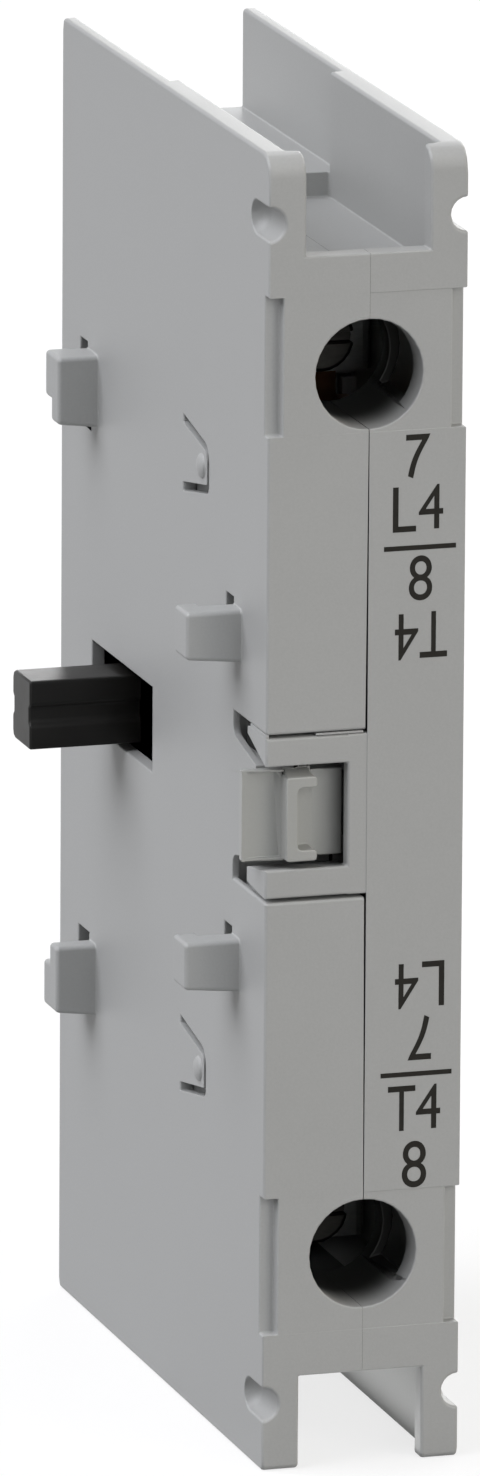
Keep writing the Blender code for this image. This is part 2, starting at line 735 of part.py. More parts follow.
def left_shell():
    shell = shell_blank(-1)
    cuts = cavity_cuts(-1)
    adds = pocket_back(-1)
    finals = [trim(-1)] + pocket_cuts()
    finals.append(
        block(
            "window",
            (-half_width - CUT_PAST, window_front, -WINDOW_HALF_HEIGHT),
            (-inner_side + CLEARANCE, window_rear, WINDOW_HALF_HEIGHT),
        )
    )
    for end in (1, -1):
        cuts += channel_cuts(-1, end)
        adds += inner_ribs(-1, end) + hooks(end) + [access_tubes(end)]
        nub_centre = (-half_width, TONGUE_TIP + NUB_SETBACK, end * TONGUE_Z)
        adds.append(dome("nub", nub_centre, NUB_RADIUS, NUB_HEIGHT))
        finals += face_cuts(-1, end) + core_holes(end) + [tongue_slot(end)]
        socket = PEG_RADIUS + CLEARANCE
        boss = socket + PEG_BOSS_WALL
        for place in peg_places(end):
            adds.append(rod("peg_boss", place, "X", boss, -inner_side - WELD_IN, CUT_PAST, 16))
            depth = PEG_LENGTH + 2 * CLEARANCE
            finals.append(rod("peg_socket", place, "X", socket, -depth, 2 * CUT_PAST, 16))
    boolean(shell, "DIFFERENCE", cuts)
    boolean(shell, "UNION", adds)
    boolean(shell, "DIFFERENCE", finals)
    return finish(shell, "left_shell", "shell grey")


def stem_guides():
    """Two ribs that guide the latch's stem and hold its spring."""
    start = latch_plate_end + LATCH_STROKE + CLEARANCE
    inner = LATCH_STEM_HALF_HEIGHT + CLEARANCE
    depths = (FRONT_WALL - WELD_IN, POCKET_DEPTH + WELD_IN)
    return [
        shell_box(
            "stem_guide", 1, start, inner_side + WELD_IN, depths, (end * inner, end * (inner + GUIDE_RIB))
        )
        for end in (1, -1)
    ]


def latch_frame():
    """The post and the two tapered arms round the latch, part of the right shell."""
    front = FRAME_STEP
    outer = POCKET_HALF_HEIGHT - CLEARANCE
    solids = [
        block(
            "post",
            (-FRAME_POST_WIDTH, front, -outer),
            (CUT_PAST, LATCH_PLATE_FRONT - CLEARANCE, outer),
        )
    ]
    for end in (1, -1):
        slot = LATCH_SLOT_HALF_HEIGHT
        arm = [
            (front, slot),
            (FRAME_ARM_DEPTH, slot + ARM_TAPER_INNER),
            (FRAME_ARM_DEPTH, outer - ARM_TAPER_OUTER),
            (front, outer),
        ]
        flipped = [(y, end * z) for y, z in arm]
        solids.append(prism("arm", flipped, "X", -half_width, -FRAME_POST_WIDTH / 2))
    return solids


def right_shell():
    shell = shell_blank(1)
    cuts = cavity_cuts(1)
    adds = pocket_back(1) + stem_guides()
    finals = [trim(1)]
    crossing = latch_frame()
    for end in (1, -1):
        cuts += channel_cuts(1, end)
        adds += inner_ribs(1, end) + [access_tubes(end)]
        finals += face_cuts(1, end)
        depths = (FRONT_WALL + CLEARANCE, access_tube_end - TUBE_WINDOW_RIM)
        half = TUBE_WINDOW_HALF_HEIGHT
        heights = (end * terminal_z - half, end * terminal_z + half)
        finals.append(shell_box("tube_window", 1, ACCESS_HOLE_RADIUS / 2, inner_side, depths, heights))
        foot = PEG_RADIUS + PEG_BOSS_WALL
        for place in peg_places(end):
            adds.append(rod("peg_foot", place, "X", foot, JOINT_GAP, inner_side + WELD_IN, 16))
            crossing.append(rod("peg", place, "X", PEG_RADIUS, -PEG_LENGTH, inner_side / 2, 16))
    boolean(shell, "DIFFERENCE", cuts)
    boolean(shell, "UNION", adds)
    boolean(shell, "DIFFERENCE", finals)
    boolean(shell, "UNION", crossing)
    return finish(shell, "right_shell", "shell grey")


def sagging_edge(start, end, height, sag, steps=6):
    """Points of a shallow hollow between two X places along the latch's front."""
    points = []
    for step in range(steps + 1):
        share = step / steps
        points.append((start + (end - start) * share, height + sag * math.sin(math.pi * share)))
    return points


def locking_latch():
    left_end = -half_width - LATCH_PROTRUSION
    spine = -half_width + GRIP_INSET
    spine_end = spine + GRIP_SPINE_WIDTH
    tab_end = spine_end + GRIP_TAB_LENGTH
    face_end = -FRAME_POST_WIDTH - LATCH_POST_GAP
    front = LATCH_PLATE_FRONT
    outline = sagging_edge(left_end, spine, front, LATCH_HOLLOW / 2)
    outline += sagging_edge(spine_end, face_end, front, LATCH_HOLLOW)
    outline += [(face_end, latch_step), (latch_plate_end, latch_step)]
    outline += [(latch_plate_end, latch_rear), (left_end, latch_rear)]
    half = LATCH_SLOT_HALF_HEIGHT - LATCH_SIDE_ROOM
    latch = prism("latch", outline, "Z", -half, half)

    top, low, tab = GRIP_TOP, -GRIP_DROP, GRIP_TAB_HEIGHT
    soft = CLEARANCE
    grip = rounded(
        [
            (spine, low, soft),
            (tab_end, low, soft),
            (tab_end, low + tab, soft),
            (spine_end, low + tab, soft),
            (spine_end, top - tab, soft),
            (tab_end, top - tab, soft),
            (tab_end, top, soft),
            (spine, top, soft),
        ],
        steps=2,
    )
    rib = prism("grip", grip, "Y", FRAME_STEP, front + LATCH_HOLLOW + WELD_IN)
    stem = block(
        "stem",
        (latch_plate_end - CUT_PAST, latch_step + FRAME_STEP, -LATCH_STEM_HALF_HEIGHT),
        (LATCH_STEM_PAST_SPLIT, latch_rear - FRAME_STEP, LATCH_STEM_HALF_HEIGHT),
    )
    boolean(latch, "UNION", [rib, stem])
    return finish(latch, "locking_latch", "latch grey")


def contact_carrier():
    side = fitted_half_width
    shutter = -side + SHUTTER_THICKNESS
    shutter_front = window_front - SHUTTER_OVERLAP_FRONT
    shutter_rear = window_rear + SHUTTER_OVERLAP_REAR
    outline = [
        (-side, shutter_front),
        (shutter, shutter_front),
        (shutter, carrier_front),
        (side, carrier_front),
        (side, carrier_rear),
        (shutter, carrier_rear),
        (shutter, shutter_rear),
        (-side, shutter_rear),
    ]
    carrier = prism("carrier", outline, "Z", -CARRIER_HALF_HEIGHT, CARRIER_HALF_HEIGHT)
    opening_half = side - CARRIER_CHEEK
    opening = block(
        "carrier_opening",
        (-opening_half, carrier_opening_front, -CARRIER_HALF_HEIGHT - CUT_PAST),
        (opening_half, carrier_opening_rear, CARRIER_HALF_HEIGHT + CUT_PAST),
    )
    boolean(carrier, "DIFFERENCE", [opening])

    rear = bar_front + BAR_DEPTH
    groove = BAR_GROOVE_HALF_HEIGHT
    section = rounded(
        [
            (bar_front, -BAR_HALF_HEIGHT, BAR_FRONT_RADIUS),
            (bar_front, -groove),
            (bar_front + BAR_GROOVE_DEPTH, -groove + BAR_GROOVE_DEPTH),
            (bar_front + BAR_GROOVE_DEPTH, groove - BAR_GROOVE_DEPTH),
            (bar_front, groove),
            (bar_front, BAR_HALF_HEIGHT, BAR_FRONT_RADIUS),
            (rear, BAR_HALF_HEIGHT, BAR_CHAMFER),
            (rear, groove),
            (rear - BAR_GROOVE_DEPTH, groove - BAR_GROOVE_DEPTH),
            (rear - BAR_GROOVE_DEPTH, -groove + BAR_GROOVE_DEPTH),
            (rear, -groove),
            (rear, -BAR_HALF_HEIGHT, BAR_CHAMFER),
        ],
        steps=2,
    )
    bar = prism("actuator_bar", section, "X", -half_width - BAR_REACH, -side + SHUTTER_THICKNESS / 2)
    boolean(carrier, "UNION", [bar])
    return finish(carrier, "contact_carrier", "carrier black")


def bridge_contact():
    """The moving bridge: round ends under the tips and a waist inside the carrier."""
    end = CONTACT_HALF_SPACING + TIP_RADIUS + CLEARANCE
    wide, soft = BRIDGE_HALF_WIDTH, BRIDGE_CORNER
    outline = rounded([(-wide, -end, soft), (wide, -end, soft), (wide, end, soft), (-wide, end, soft)])
    bridge = prism("bridge", outline, "Y", bridge_front, bridge_rear)
    boss_end = bridge_rear + TIP_THICKNESS
    boss = rod("spring_boss", (0, 0), "Y", spring_inner_radius, bridge_rear - WELD_IN, boss_end, 16)
    boolean(bridge, "UNION", [boss])
    return finish(bridge, "bridge_contact", "copper")


def contact_tip(name, end, face, back):
    """A silver tip with a crowned face, turned about Y. The face looks from back to face."""
    height = abs(face - back)
    profile = [
        (0, height),
        (TIP_FLAT_RADIUS, height - TIP_CROWN / 2),
        (TIP_RADIUS, height - 2 * TIP_CROWN),
        (TIP_RADIUS, 0),
        (0, 0),
    ]
    tip = turned(name, profile, steps=20)
    tip.location = (0, back, end * CONTACT_HALF_SPACING)
    tip.rotation_euler.x = math.radians(90 if face < back else -90)
    return finish(tip, name, "silver")


def terminal_bar(name, end):
    """A flat copper bar from the contact to the clamp, widest where the ribs hold it."""
    start = CONTACT_HALF_SPACING - TIP_RADIUS - 2 * CLEARANCE
    shoulder = splitter_root_z
    shoulder_end = partition_z - TERMINAL_SHOULDER_ROOM
    tongue_end = terminal_z + CAGE_HEIGHT / 2 + CLEARANCE
    neck, wide, tongue = TERMINAL_NECK_HALF_WIDTH, fitted_half_width, TERMINAL_TONGUE_HALF_WIDTH
    soft = BAR_CHAMFER
    right_half = [
        (neck, start, soft),
        (neck, shoulder, soft),
        (wide, shoulder, soft),
        (wide, shoulder_end, soft),
        (tongue, shoulder_end, soft),
        (tongue, tongue_end, soft),
    ]
    left_half = [(-x, z, r) for x, z, r in reversed(right_half)]
    outline = [(x, end * z) for x, z in rounded(right_half + left_half, steps=2)]
    bar = prism(name, outline, "Y", bar_plate_front, bar_plate_rear)
    return finish(bar, name, "copper")


def splitter_plate(name, end, index):
    near = splitter_front + index * SPLITTER_PITCH
    wide, notch = fitted_half_width, SPLITTER_NOTCH_HALF_WIDTH
    root, far = splitter_root_z, splitter_end_z
    outline = [
        (-wide, far),
        (-wide, root),
        (-notch, root),
        (0, root + (far - root) * SPLITTER_NOTCH_SHARE),
        (notch, root),
        (wide, root),
        (wide, far),
    ]
    flipped = [(x, end * z) for x, z in outline]
    plate = prism(name, flipped, "Y", near, near + SPLITTER_THICKNESS)
    return finish(plate, name, "splitter steel")


def clamp_cage(name, end):
    """A steel loop round the bar and the wire, with the screw's thread in its front wall."""
    half = fitted_half_width
    outer_front = cage_inner_front - CAGE_WALL
    outer_rear = cage_inner_rear + CAGE_WALL
    outer = rounded(
        [
            (-half, outer_front, CAGE_CORNER),
            (half, outer_front, CAGE_CORNER),
            (half, outer_rear, CAGE_CORNER),
            (-half, outer_rear, CAGE_CORNER),
        ]
    )
    low, high = end * terminal_z - CAGE_HEIGHT / 2, end * terminal_z + CAGE_HEIGHT / 2
    cage = prism(name, outer, "Z", low, high)
    inner = half - CAGE_WALL
    hollow = block(
        "cage_hollow",
        (-inner, cage_inner_front, low - CUT_PAST),
        (inner, cage_inner_rear, high + CUT_PAST),
    )
    thread = rod(
        "cage_thread",
        (0, end * terminal_z),
        "Y",
        SCREW_RADIUS + CLEARANCE,
        outer_front - CUT_PAST,
        cage_inner_front + CUT_PAST,
        20,
    )
    boolean(cage, "DIFFERENCE", [hollow, thread])
    return finish(cage, name, "zinc steel")


def terminal_screw(name, end):
    """A slotted cheese-head screw. Its origin is on its own axis at the head's face."""
    tip = -SCREW_LENGTH
    under = -SCREW_HEAD_HEIGHT
    profile = [
        (0, 0),
        (SCREW_HEAD_RADIUS - CLEARANCE, 0),
        (SCREW_HEAD_RADIUS, -CLEARANCE),
        (SCREW_HEAD_RADIUS, under),
        (SCREW_RADIUS, under),
        (SCREW_RADIUS, tip + SCREW_TIP_CHAMFER),
        (SCREW_RADIUS - SCREW_TIP_CHAMFER, tip),
        (0, tip),
    ]
    screw = turned(name, profile)
    slot = block(
        "screw_slot",
        (-SCREW_HEAD_RADIUS - CUT_PAST, -SCREW_SLOT_WIDTH / 2, -SCREW_SLOT_DEPTH),
        (SCREW_HEAD_RADIUS + CUT_PAST, SCREW_SLOT_WIDTH / 2, CUT_PAST),
    )
    boolean(screw, "DIFFERENCE", [slot])
    for solid in (screw, slot):
        solid.location = (0, screw_head_face, end * terminal_z)
        solid.rotation_euler.x = math.radians(90)
    return finish(screw, name, "zinc steel")


def springs():
    latch_centre = ((latch_step + latch_rear) / 2, 0)
    latch_spring = helix(
        "latch_spring",
        "X",
        latch_centre,
        LATCH_SPRING_RADIUS,
        LATCH_SPRING_WIRE,
        LATCH_STEM_PAST_SPLIT + CLEARANCE,
        inner_side - CLEARANCE,
        LATCH_SPRING_TURNS,
    )
    contact_spring = helix(
        "contact_spring",
        "Y",
        (0, 0),
        CONTACT_SPRING_RADIUS,
        CONTACT_SPRING_WIRE,
        spring_front,
        spring_front + CONTACT_SPRING_LENGTH,
        CONTACT_SPRING_TURNS,
    )
    return [
        finish(latch_spring, "latch_spring", "spring steel"),
        finish(contact_spring, "contact_spring", "spring steel"),
    ]


def main():
    pieces = springs()
    pieces += [left_shell(), right_shell(), locking_latch(), contact_carrier(), bridge_contact()]
    fixed_back = bar_plate_rear + JOINT_GAP
    moving_back = bridge_front - JOINT_GAP
    for end, word in ((1, "upper"), (-1, "lower")):
        pieces.append(terminal_bar(word + "_terminal_bar", end))
        pieces.append(contact_tip(word + "_fixed_tip", end, fixed_tip_face, fixed_back))
        pieces.append(contact_tip(word + "_moving_tip", end, moving_tip_face, moving_back))
        pieces.append(clamp_cage(word + "_clamp_cage", end))
        pieces.append(terminal_screw(word + "_terminal_screw", end))
        for index in range(SPLITTER_COUNT):
            pieces.append(splitter_plate(word + "_splitter_" + str(index + 1), end, index))

    frame = bpy.data.objects.new("frame", None)
    frame.location = (half_width, -MATING_POINT_DEPTH, 0)
    parts.objects.link(frame)
    for piece in pieces + list(cutters.all_objects):
        piece.parent = frame


main()
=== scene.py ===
# Auxiliary switch module: a pale grey moulded add-on unit, one module wide, with a black
# actuator bar and four hooks on its mating side. The mating side lies at X = 0.
import math

import bmesh
import bpy
from mathutils import Matrix, Vector


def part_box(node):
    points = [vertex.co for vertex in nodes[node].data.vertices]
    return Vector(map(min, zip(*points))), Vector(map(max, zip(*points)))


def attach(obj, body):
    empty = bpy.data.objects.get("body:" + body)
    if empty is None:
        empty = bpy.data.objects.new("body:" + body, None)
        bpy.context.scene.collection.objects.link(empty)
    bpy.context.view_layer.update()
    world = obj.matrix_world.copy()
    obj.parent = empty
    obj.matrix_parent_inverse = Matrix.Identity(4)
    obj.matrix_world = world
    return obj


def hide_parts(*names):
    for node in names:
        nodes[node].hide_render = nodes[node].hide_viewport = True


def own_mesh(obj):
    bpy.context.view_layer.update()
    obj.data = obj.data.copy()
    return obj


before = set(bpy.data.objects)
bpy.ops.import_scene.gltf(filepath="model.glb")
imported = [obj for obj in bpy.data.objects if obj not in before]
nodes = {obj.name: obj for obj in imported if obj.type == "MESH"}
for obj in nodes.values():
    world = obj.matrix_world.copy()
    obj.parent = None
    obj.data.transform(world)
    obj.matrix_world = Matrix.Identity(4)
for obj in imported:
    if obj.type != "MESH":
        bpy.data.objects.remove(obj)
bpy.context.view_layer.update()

mm = 0.001


def linear(hexColour):
    # an sRGB hex colour as the linear numbers that a shader works with
    parts = [int(hexColour[i:i + 2], 16) / 255 for i in (1, 3, 5)]
    return [c / 12.92 if c <= 0.04045 else ((c + 0.055) / 1.055) ** 2.4 for c in parts] + [1]


def perMetre(sizeInMm):
    # texture scale that repeats a pattern at this size
    return 1 / (sizeInMm * mm)


def addNode(tree, kind, inputs=None, **settings):
    # inputs are numbers, colours or sockets to link from
    node = tree.nodes.new("ShaderNode" + kind)
    for name, value in settings.items():
        setattr(node, name, value)
    for name, value in (inputs or {}).items():
        if isinstance(value, bpy.types.NodeSocket):
            tree.links.new(value, node.inputs[name])
        else:
            node.inputs[name].default_value = value
    return node


def startMaterial(name):
    material = bpy.data.materials.new(name)
    material.use_nodes = True
    tree = material.node_tree
    place = addNode(tree, "TexCoord").outputs["Object"]
    return material, tree, tree.nodes["Principled BSDF"], place


def pickOnly(piece):
    # operators act on all that is selected, so only this piece stays selected
    bpy.ops.object.select_all(action="DESELECT")
    piece.select_set(True)
    bpy.context.view_layer.objects.active = piece


def point(x, y, z):
    # a point given in mm
    return Vector((x, y, z)) * mm


def mouldedPlastic(name, look):
    # a moulded surface: a fine grain from the tool, faint clouds where the melt cooled
    # unevenly, and slow waves in the flat walls that break up the highlights; the real
    # grain is finer and is drawn coarser here so that it shows
    material, tree, shader, place = startMaterial(name)
    clouds = addNode(
        tree, "TexNoise", {"Vector": place, "Scale": perMetre(look["cloudSize"]), "Detail": 3},
    )
    tint = addNode(
        tree, "Mix",
        {
            "Factor": clouds.outputs["Fac"],
            6: linear(look["darkTint"]), 7: linear(look["lightTint"]),
        },
        data_type="RGBA",
    )
    grain = addNode(
        tree, "TexNoise", {"Vector": place, "Scale": perMetre(look["grainSize"]), "Detail": 2},
    )
    speckle = addNode(
        tree, "Mix",
        {"Factor": look["speckle"], 6: tint.outputs[2], 7: grain.outputs["Fac"]},
        data_type="RGBA", blend_type="OVERLAY",
    )
    tree.links.new(speckle.outputs[2], shader.inputs["Base Color"])
    shader.inputs["Specular IOR Level"].default_value = look["gloss"]
    dullness = addNode(
        tree, "MapRange",
        {"Value": clouds.outputs["Fac"], "To Min": look["roughMin"], "To Max": look["roughMax"]},
    )
    tree.links.new(dullness.outputs[0], shader.inputs["Roughness"])
    waves = addNode(
        tree, "TexNoise", {"Vector": place, "Scale": perMetre(look["waveSize"]), "Detail": 1},
    )
    slowBump = addNode(
        tree, "Bump",
        {"Height": waves.outputs["Fac"], "Distance": look["waveHeight"] * mm, "Strength": 1},
    )
    fineBump = addNode(
        tree, "Bump",
        {
            "Height": grain.outputs["Fac"], "Distance": look["grainHeight"] * mm, "Strength": 1,
            "Normal": slowBump.outputs[0],
        },
    )
    tree.links.new(fineBump.outputs[0], shader.inputs["Normal"])
    shader.inputs["IOR"].default_value = look["ior"]
    return material


def paintShade(material, mask, shade):
    # painted shade where the mask is 1, over whatever colour the plastic has
    tree = material.node_tree
    colour = tree.nodes["Principled BSDF"].inputs["Base Color"]
    before = colour.links[0].from_socket
    shadedColour = addNode(tree, "Mix", {"Factor": mask, 6: before, 7: linear(shade)}, data_type="RGBA")
    tree.links.new(shadedColour.outputs[2], colour)


def metal(name, look):
    # rolled, drawn or plated metal: tone and polish drift along the direction it was worked
    material, tree, shader, place = startMaterial(name)
    turned = addNode(tree, "Mapping", {"Vector": place, "Scale": look["stretch"]})
    lines = addNode(
        tree, "TexNoise",
        {"Vector": turned.outputs[0], "Scale": perMetre(look["lineSize"]), "Detail": 4},
    )
    tint = addNode(
        tree, "Mix",
        {
            "Factor": lines.outputs["Fac"],
            6: linear(look["darkTint"]), 7: linear(look["lightTint"]),
        },
        data_type="RGBA",
    )
    tree.links.new(tint.outputs[2], shader.inputs["Base Color"])
    polish = addNode(
        tree, "MapRange",
        {"Value": lines.outputs["Fac"], "To Min": look["roughMin"], "To Max": look["roughMax"]},
    )
    tree.links.new(polish.outputs[0], shader.inputs["Roughness"])
    bump = addNode(
        tree, "Bump",
        {"Height": lines.outputs["Fac"], "Distance": look["lineHeight"] * mm, "Strength": 1},
    )
    tree.links.new(bump.outputs[0], shader.inputs["Normal"])
    shader.inputs["Metallic"].default_value = 1
    return material


# an eroded mould leaves the shells an even, dull grey that scatters the light softly
shellPlastic = mouldedPlastic("Light grey PBT, spark-eroded mould finish", {
    "darkTint": "#A6A7A6", "lightTint": "#ABACAB", "cloudSize": 9,
    "grainSize": 0.22, "grainHeight": 0.006, "speckle": 0.05,
    "waveSize": 14, "waveHeight": 0.05,
    "roughMin": 0.44, "roughMax": 0.54, "ior": 1.5, "gloss": 0.5,
})
# where the painted shade in the screw tubes and the seam lies, and how dark it is
hollows = {
    "shade": "#1A1A17", "tubeX": 8.9, "tubeZ": 38.3, "tubeRadius": 6.5,
    "lightTo": -27.2, "darkFrom": -21.8, "tubeEnd": 25,
    "seamX": 8.9, "seamHalf": 0.3, "seamFrom": -27.96, "flatFrom": 0.9,
}


def hollowShadeMask(material):
    # painted shade down the two screw tubes, and on the faces that meet in the split line, where
    # the shade falls
    tree = material.node_tree
    coordinates = addNode(tree, "TexCoord")
    place = addNode(tree, "SeparateXYZ", {0: coordinates.outputs["Object"]})
    facing = addNode(tree, "SeparateXYZ", {0: coordinates.outputs["Normal"]})
    height = addNode(tree, "Math", {0: place.outputs["Z"]}, operation="ABSOLUTE")
    across = addNode(tree, "CombineXYZ", {"X": place.outputs["X"], "Z": height.outputs[0]})
    radius = addNode(
        tree, "VectorMath",
        {0: across.outputs[0], 1: point(hollows["tubeX"], 0, hollows["tubeZ"])},
        operation="DISTANCE",
    )
    inTube = addNode(
        tree, "Math", {0: radius.outputs["Value"], 1: hollows["tubeRadius"] * mm},
        operation="LESS_THAN",
    )
    depth = addNode(
        tree, "MapRange",
        {
            "Value": place.outputs["Y"],
            "From Min": hollows["lightTo"] * mm, "From Max": hollows["darkFrom"] * mm,
        },
        interpolation_type="SMOOTHSTEP",
    )
    inside = addNode(
        tree, "Math", {0: place.outputs["Y"], 1: hollows["tubeEnd"] * mm}, operation="LESS_THAN",
    )
    deep = addNode(tree, "Math", {0: inside.outputs[0], 1: depth.outputs[0]}, operation="MULTIPLY")
    tube = addNode(tree, "Math", {0: inTube.outputs[0], 1: deep.outputs[0]}, operation="MULTIPLY")
    sideways = addNode(tree, "Math", {0: facing.outputs["X"]}, operation="ABSOLUTE")
    flat = addNode(
        tree, "Math", {0: sideways.outputs[0], 1: hollows["flatFrom"]}, operation="GREATER_THAN",
    )
    close = addNode(
        tree, "Math",
        {0: place.outputs["X"], 1: hollows["seamX"] * mm, 2: hollows["seamHalf"] * mm},
        operation="COMPARE",
    )
    behind = addNode(
        tree, "Math", {0: place.outputs["Y"], 1: hollows["seamFrom"] * mm},
        operation="GREATER_THAN",
    )
    beside = addNode(tree, "Math", {0: flat.outputs[0], 1: close.outputs[0]}, operation="MULTIPLY")
    seam = addNode(tree, "Math", {0: beside.outputs[0], 1: behind.outputs[0]}, operation="MULTIPLY")
    either = addNode(tree, "Math", {0: tube.outputs[0], 1: seam.outputs[0]}, operation="MAXIMUM")
    return either.outputs[0]


# painted shade deep in the screw tubes and inside the split line
paintShade(shellPlastic, hollowShadeMask(shellPlastic), hollows["shade"])
# a polished mould leaves the latch smoother than the shells, with a soft sheen
latchPlastic = mouldedPlastic("Grey acetal, mould-polished", {
    "darkTint": "#A4A5A2", "lightTint": "#A9AAA7", "cloudSize": 5,
    "grainSize": 0.2, "grainHeight": 0.003, "speckle": 0.03,
    "waveSize": 6, "waveHeight": 0.03,
    "roughMin": 0.34, "roughMax": 0.42, "ior": 1.48, "gloss": 0.5,
})
# painted shade on the plate by the post: its colour, where it starts and ends across, how dark at
# most, and from what depth
latchShade = {"shade": "#2A2A27", "from": 4.4, "to": 7.9, "most": 0.62, "behind": -26.75}


def latchShadeMask(material):
    # painted shade: the slider's plate turns dark on the side that runs under the post
    tree = material.node_tree
    place = addNode(tree, "SeparateXYZ", {0: addNode(tree, "TexCoord").outputs["Object"]})
    ramp = addNode(
        tree, "MapRange",
        {
            "Value": place.outputs["X"], "To Max": latchShade["most"],
            "From Min": latchShade["from"] * mm, "From Max": latchShade["to"] * mm,
        },
        interpolation_type="SMOOTHSTEP",
    )
    plate = addNode(
        tree, "Math", {0: place.outputs["Y"], 1: latchShade["behind"] * mm},
        operation="GREATER_THAN",
    )
    shadedPlate = addNode(tree, "Math", {0: ramp.outputs[0], 1: plate.outputs[0]}, operation="MULTIPLY")
    return shadedPlate.outputs[0]


# painted shade on the latch plate beside the post
paintShade(latchPlastic, latchShadeMask(latchPlastic), latchShade["shade"])
# glass fibres near the surface leave the black bar faintly mottled, with broad dull highlights
carrierPlastic = mouldedPlastic("Black glass-filled polyamide, moulded", {
    "darkTint": "#0F0E0D", "lightTint": "#161513", "cloudSize": 2.5,
    "grainSize": 0.25, "grainHeight": 0.006, "speckle": 0.12,
    "waveSize": 5, "waveHeight": 0.03,
    "roughMin": 0.3, "roughMax": 0.42, "ior": 1.53, "gloss": 0.2,
})
# rolling leaves lines along the strip and a brown, half-bright shine
rolledCopper = metal("Copper strip, rolled", {
    "darkTint": "#6E4834", "lightTint": "#8E6348", "stretch": (1, 6, 1), "lineSize": 1.2,
    "roughMin": 0.26, "roughMax": 0.4, "lineHeight": 0.004,
})
# coining leaves the tips pale, dense and softly shiny
silverTip = metal("Silver-nickel contact tip, coined", {
    "darkTint": "#C4C1BA", "lightTint": "#DAD8D2", "stretch": (1, 1, 1), "lineSize": 0.5,
    "roughMin": 0.28, "roughMax": 0.42, "lineHeight": 0.004,
})
# plating covers the tool marks with a cool, fairly bright grey skin
zincSteel = metal("Steel, bright zinc plated", {
    "darkTint": "#A9ABAA", "lightTint": "#C6C8C6", "stretch": (1, 1, 3), "lineSize": 0.8,
    "roughMin": 0.25, "roughMax": 0.4, "lineHeight": 0.004,
})
# the screws are drawn dark grey, a painted shade for the dark deep in their tubes, with a satin
# shine
darkScrewSteel = metal("Steel, zinc plated, drawn dark as painted shade", {
    "darkTint": "#292826", "lightTint": "#3A3936", "stretch": (1, 1, 3), "lineSize": 0.8,
    "roughMin": 0.3, "roughMax": 0.45, "lineHeight": 0.004,
})
# drawing leaves the wire an even, half-bright grey
springWire = metal("Spring steel wire, cold drawn", {
    "darkTint": "#83807B", "lightTint": "#A3A19C", "stretch": (1, 1, 1), "lineSize": 0.4,
    "roughMin": 0.25, "roughMax": 0.36, "lineHeight": 0.003,
})
# a thin copper wash turns the rolled sheet a warm, satin grey
splitterSteel = metal("Steel sheet, cold rolled, copper washed", {
    "darkTint": "#8A817A", "lightTint": "#A69C93", "stretch": (1, 5, 1), "lineSize": 1,
    "roughMin": 0.3, "roughMax": 0.45, "lineHeight": 0.004,
})
# pad-printed ink dries matt, very dark grey and a little uneven
printingInk = mouldedPlastic("Black pad-printing ink, dried matt", {
    "darkTint": "#1C1B18", "lightTint": "#2B2925", "cloudSize": 0.6,
    "grainSize": 0.15, "grainHeight": 0.003, "speckle": 0.1,
    "waveSize": 2, "waveHeight": 0.002,
    "roughMin": 0.5, "roughMax": 0.65, "ior": 1.45, "gloss": 0.15,
})
print("materials made")

# these nodes keep their own mesh and only take a material
finishes = {
    "bridge_contact": rolledCopper,
    "upper_terminal_bar": rolledCopper, "lower_terminal_bar": rolledCopper,
    "upper_moving_tip": silverTip, "lower_moving_tip": silverTip,
    "upper_fixed_tip": silverTip, "lower_fixed_tip": silverTip,
    "upper_clamp_cage": zincSteel, "lower_clamp_cage": zincSteel,
}
for name, material in finishes.items():
    nodes[name].material_slots[0].material = material
for end in ("upper", "lower"):
    for count in range(1, 5):
        nodes[f"{end}_splitter_{count}"].material_slots[0].material = splitterSteel

matching = {
    # how far, in mm, a point may lie from the flat or round place that a rule names
    "flat": 0.02, "round": 0.06,
    # faces that turn less than this, in degrees, become one face
    "sameFace": 1,
    # how far wide faces outweigh narrow ones where the shading is smoothed
    "wideFaces": 100,
}
anywhere = (-math.inf, math.inf)


def mergeSkin(piece, weld, dissolve=True):
    # loose triangles become one skin, and those that lie in one plane become one face
    pickOnly(piece)
    bpy.ops.object.mode_set(mode="EDIT")
    bpy.ops.mesh.select_all(action="SELECT")
    bpy.ops.mesh.remove_doubles(threshold=weld * mm)
    if dissolve:
        bpy.ops.mesh.dissolve_limited(angle_limit=math.radians(matching["sameFace"]))
    bpy.ops.object.mode_set(mode="OBJECT")


def copyNode(nodeName, pieceName):
    # a copy of the CAD node with its own mesh and no stored normals
    mesh = nodes[nodeName].data.copy()
    mesh.name = pieceName
    piece = bpy.data.objects.new(pieceName, mesh)
    bpy.context.scene.collection.objects.link(piece)
    pickOnly(piece)
    bpy.ops.mesh.customdata_custom_splitnormals_clear()
    return piece


def roomBeside(edge, turn):
    # the shortest edge that turns away from this one tells how far a rounding may reach
    along = (edge.verts[1].co - edge.verts[0].co).normalized()
    lengths = [1.0]
    for vert in edge.verts:
        for other in vert.link_edges:
            away = other.other_vert(vert).co - vert.co
            sameFace = set(other.link_faces) & set(edge.link_faces)
            if other is not edge and sameFace and abs(away.normalized().dot(along)) < turn:
                lengths.append(away.length)
    return min(lengths)


def weighEdges(mesh, look, choose):
    # bevel weights: the width that choose() gives in mm, less where there is little room
    work = bmesh.new()
    work.from_mesh(mesh)
    weight = work.edges.layers.float.new("bevel_weight_edge")
    sharp = math.radians(look["sharpAngle"])
    for edge in work.edges:
        if len(edge.link_faces) == 2 and edge.calc_face_angle() > sharp:
            wanted = choose(edge) * mm
            room = roomBeside(edge, look["turn"]) * look["roomShare"]
            edge[weight] = min(wanted, room) / (look["radius"] * mm)
    work.to_mesh(mesh)
    work.free()


